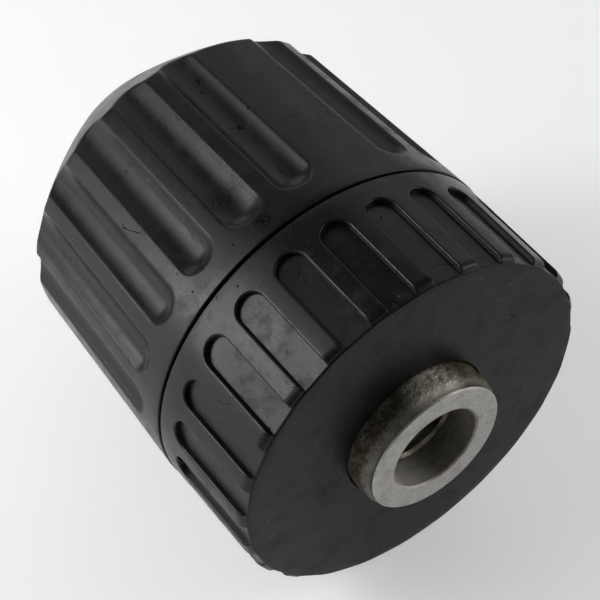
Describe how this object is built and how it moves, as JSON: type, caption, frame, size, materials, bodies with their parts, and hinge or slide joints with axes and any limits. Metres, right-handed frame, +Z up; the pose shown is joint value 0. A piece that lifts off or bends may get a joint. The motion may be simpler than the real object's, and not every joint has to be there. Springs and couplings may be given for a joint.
{
  "type": "keyless drill chuck",
  "caption": "Keyless two-sleeve drill chuck with a threaded spindle socket, ribbed black sleeves and self-centring jaws.",
  "frame": {"origin": "centre of the hub's rear seating face", "axes": "+Y out of the spindle socket towards the drill, -Y towards the jaws, +Z up through the middle of jaw 1"},
  "size_m": [0.04, 0.0509, 0.04],
  "materials": {
    "black_nylon": "satin moulded black glass-filled nylon with fine grain and scuffs",
    "steel": "machined steel, turned bright at the seat, stained on the hub band",
    "bright_steel": "machined bright steel",
    "hardened_steel": "ground hardened steel",
    "spring_steel": "dark phosphated spring steel",
    "bush_nylon": "natural white nylon",
    "dust_felt": "oiled grey felt"
  },
  "bodies": {
    "chuck": {"body": "steel", "rear_sleeve": "black_nylon", "race_rear": "hardened_steel", "rear_bush": "bush_nylon", "dust_ring": "dust_felt", "front_washer": "bright_steel", "nose_snap_ring": "spring_steel"},
    "turning_sleeve": {"front_sleeve": "black_nylon", "nut_half_a": "bright_steel", "nut_half_b": "bright_steel", "nut_band": "bright_steel", "race_front": "hardened_steel"},
    "bearing": {"ball_cage": "bush_nylon", "bearing_balls": "hardened_steel"},
    "jaw_a": {"jaw_1": "hardened_steel"},
    "jaw_b": {"jaw_2": "hardened_steel"},
    "jaw_c": {"jaw_3": "hardened_steel"}
  },
  "joints": [
    {"name": "sleeve_spin", "type": "hinge", "parent": "chuck", "child": "turning_sleeve", "pos_m": [0, 0, 0], "axis": [0, 1, 0], "range_deg": [-755, 1762]},
    {"name": "bearing_spin", "type": "hinge", "parent": "chuck", "child": "bearing", "pos_m": [0, 0, 0], "axis": [0, 1, 0], "range_deg": [-378.5, 882]},
    {"name": "jaw_1_slide", "type": "slide", "parent": "chuck", "child": "jaw_a", "axis": [0, -0.9511, -0.309], "range_m": [-0.00485, 0.01132]},
    {"name": "jaw_2_slide", "type": "slide", "parent": "chuck", "child": "jaw_b", "axis": [0.2676, -0.9511, 0.1545], "range_m": [-0.00485, 0.01132]},
    {"name": "jaw_3_slide", "type": "slide", "parent": "chuck", "child": "jaw_c", "axis": [-0.2676, -0.9511, 0.1545], "range_m": [-0.00485, 0.01132]}
  ],
  "couplings": [
    {"joint": "bearing_spin", "follows": "sleeve_spin", "ratio": 0.5},
    {"joint": "jaw_1_slide", "follows": "sleeve_spin", "m_per_rad": 0.00036816},
    {"joint": "jaw_2_slide", "follows": "sleeve_spin", "m_per_rad": 0.00036816},
    {"joint": "jaw_3_slide", "follows": "sleeve_spin", "m_per_rad": 0.00036816}
  ]
}
